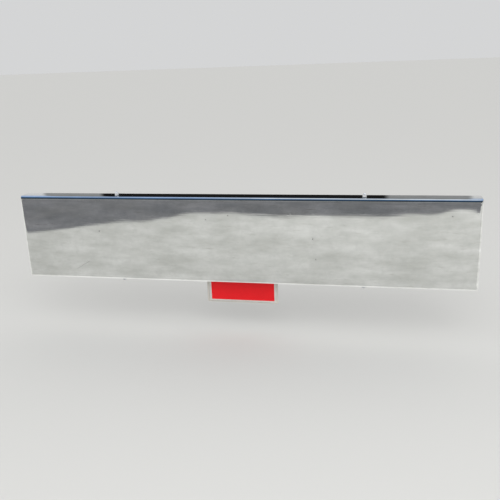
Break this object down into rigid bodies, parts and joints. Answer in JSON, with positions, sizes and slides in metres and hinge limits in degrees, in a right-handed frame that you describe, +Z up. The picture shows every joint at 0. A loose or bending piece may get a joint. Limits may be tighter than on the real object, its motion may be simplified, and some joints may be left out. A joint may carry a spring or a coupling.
{
  "type": "truck bumper",
  "caption": "Wide chrome truck bumper with a plain square face and boxed ends, on welded frame brackets, with a number plate hung below its lower flange.",
  "frame": {"origin": "on the truck's centreline, in the plane where the brackets' rear pads meet the frame rails, at the middle of the frame bolts", "axes": "+X across the truck to the right of someone who faces the bumper, +Y back to the truck so that the face looks along -Y, +Z up"},
  "size_m": [2.39, 0.225, 0.6196],
  "materials": {
    "bright_chrome": "bright chrome plating on polished steel, faintly wavy, with a few fine scratches",
    "bare_steel": "mill-finish steel plate, dull",
    "bracket_paint": "satin black chassis paint on steel",
    "zinc_plating": "bright zinc plating on steel",
    "carrier_finish": "pale painted steel, semi-gloss",
    "plate_enamel": "pale enamel on a thin metal sheet",
    "plate_sheeting": "plain red self-adhesive sheeting"
  },
  "bodies": {
    "root": {"bumper_shell": "bright_chrome", "hanger_bolts": "zinc_plating", "hanger_nuts": "zinc_plating", "hanger_washers": "zinc_plating", "left_backing_plate": "bare_steel", "left_bottom_bolt": "zinc_plating", "left_bottom_nut": "zinc_plating", "left_bottom_washer": "zinc_plating", "left_brace": "bracket_paint", "left_brace_inner_bolt": "zinc_plating", "left_brace_inner_nut": "zinc_plating", "left_brace_inner_washer": "zinc_plating", "left_brace_outer_bolt": "zinc_plating", "left_brace_outer_nut": "zinc_plating", "left_brace_outer_washer": "zinc_plating", "left_cap_nut": "bright_chrome", "left_frame_bracket": "bracket_paint", "left_stiffener": "bracket_paint", "left_stud_nuts": "zinc_plating", "left_stud_washers": "zinc_plating", "left_top_bolt": "zinc_plating", "left_top_washer": "zinc_plating", "left_weld_studs": "bare_steel", "number_plate": "plate_enamel", "plate_carrier": "carrier_finish", "plate_film": "plate_sheeting", "plate_hanger": "bracket_paint", "plate_nuts": "zinc_plating", "plate_screws": "zinc_plating", "right_backing_plate": "bare_steel", "right_bottom_bolt": "zinc_plating", "right_bottom_nut": "zinc_plating", "right_bottom_washer": "zinc_plating", "right_brace": "bracket_paint", "right_brace_inner_bolt": "zinc_plating", "right_brace_inner_nut": "zinc_plating", "right_brace_inner_washer": "zinc_plating", "right_brace_outer_bolt": "zinc_plating", "right_brace_outer_nut": "zinc_plating", "right_brace_outer_washer": "zinc_plating", "right_cap_nut": "bright_chrome", "right_frame_bracket": "bracket_paint", "right_stiffener": "bracket_paint", "right_stud_nuts": "zinc_plating", "right_stud_washers": "zinc_plating", "right_top_bolt": "zinc_plating", "right_top_washer": "zinc_plating", "right_weld_studs": "bare_steel"}
  },
  "joints": []
}
